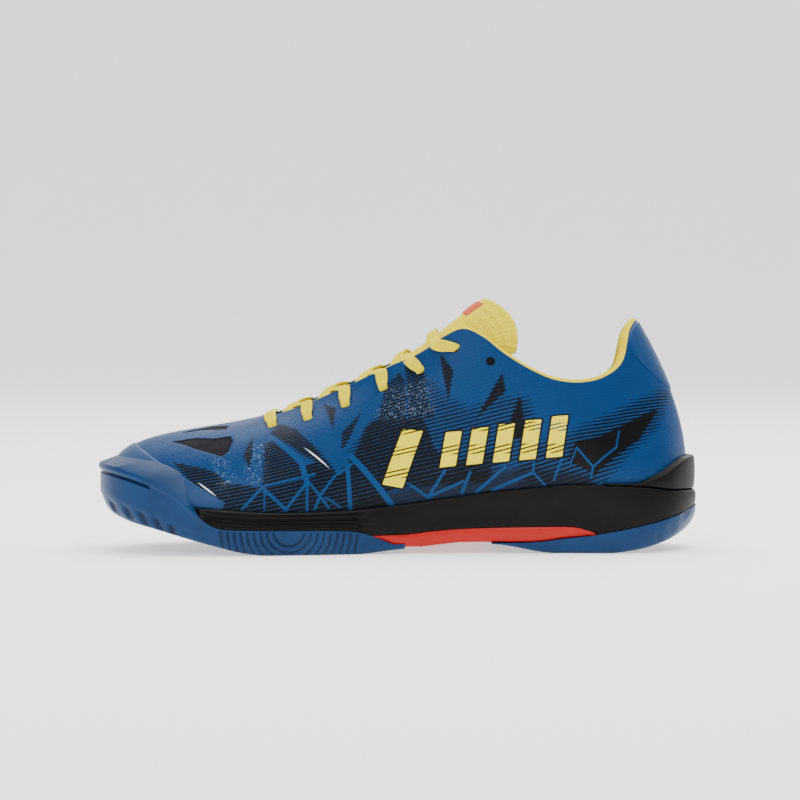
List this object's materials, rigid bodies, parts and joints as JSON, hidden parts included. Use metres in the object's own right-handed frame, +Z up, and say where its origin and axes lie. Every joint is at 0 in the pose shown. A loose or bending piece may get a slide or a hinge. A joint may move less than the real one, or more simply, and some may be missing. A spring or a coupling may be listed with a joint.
{
  "type": "court shoe",
  "caption": "Laced low indoor court shoe for the right foot: printed upper with a hinged padded tongue top, foam midsole, orange midfoot shank and two-piece rubber outsole.",
  "frame": {"origin": "on the floor under the middle of the shoe's box", "axes": "+X from the toe to the heel, -Y the inner (medial) side of this right shoe, +Z up"},
  "size_m": [0.296, 0.1066, 0.124],
  "materials": {
    "rubber_blue": "matte moulded rubber",
    "shank_orange": "satin moulded plastic",
    "midsole_foam": "moulded foam, fine skin",
    "gel": "soft clear gel",
    "board": "non-woven board",
    "sockliner_cloth": "knitted top cloth on foam",
    "upper_print": "printed synthetic skin, satin",
    "vamp_mesh": "open air mesh",
    "lining_dark": "thin knitted lining",
    "stiffener": "moulded stiffener",
    "guard_blue": "smooth bonded film",
    "eyestay": "reinforcing tape",
    "collar_foam": "soft foam",
    "lining_yellow": "knitted spacer cloth",
    "tongue_cloth": "grid-knit spacer cloth over foam",
    "label": "woven label",
    "lace_yellow": "flat woven lace",
    "aglet_plastic": "clear tipping film"
  },
  "bodies": {
    "shoe": {"outsole_forefoot": "rubber_blue", "outsole_heel": "rubber_blue", "midfoot_shank": "shank_orange", "midsole": "midsole_foam", "heel_cradle": "midsole_foam", "gel_pad_heel": "gel", "gel_pad_forefoot": "gel", "lasting_board": "board", "sockliner": "sockliner_cloth", "upper_skin": "upper_print", "vamp_mesh": "vamp_mesh", "vamp_lining": "lining_dark", "toe_puff": "stiffener", "toe_guard": "guard_blue", "eyestay_medial": "eyestay", "eyestay_lateral": "eyestay", "heel_counter": "stiffener", "heel_tab": "guard_blue", "collar_foam": "collar_foam", "collar_lining": "lining_yellow", "tongue_lower": "tongue_cloth", "lace": "lace_yellow", "aglets": "aglet_plastic"},
    "tongue_top": {"tongue_end": "tongue_cloth", "tongue_label": "label"}
  },
  "joints": [
    {"name": "tongue_fold", "type": "hinge", "parent": "shoe", "child": "tongue_top", "pos_m": [0.02046, 0, 0.10761], "axis": [0, -1, 0], "range_deg": [0, 40]}
  ]
}
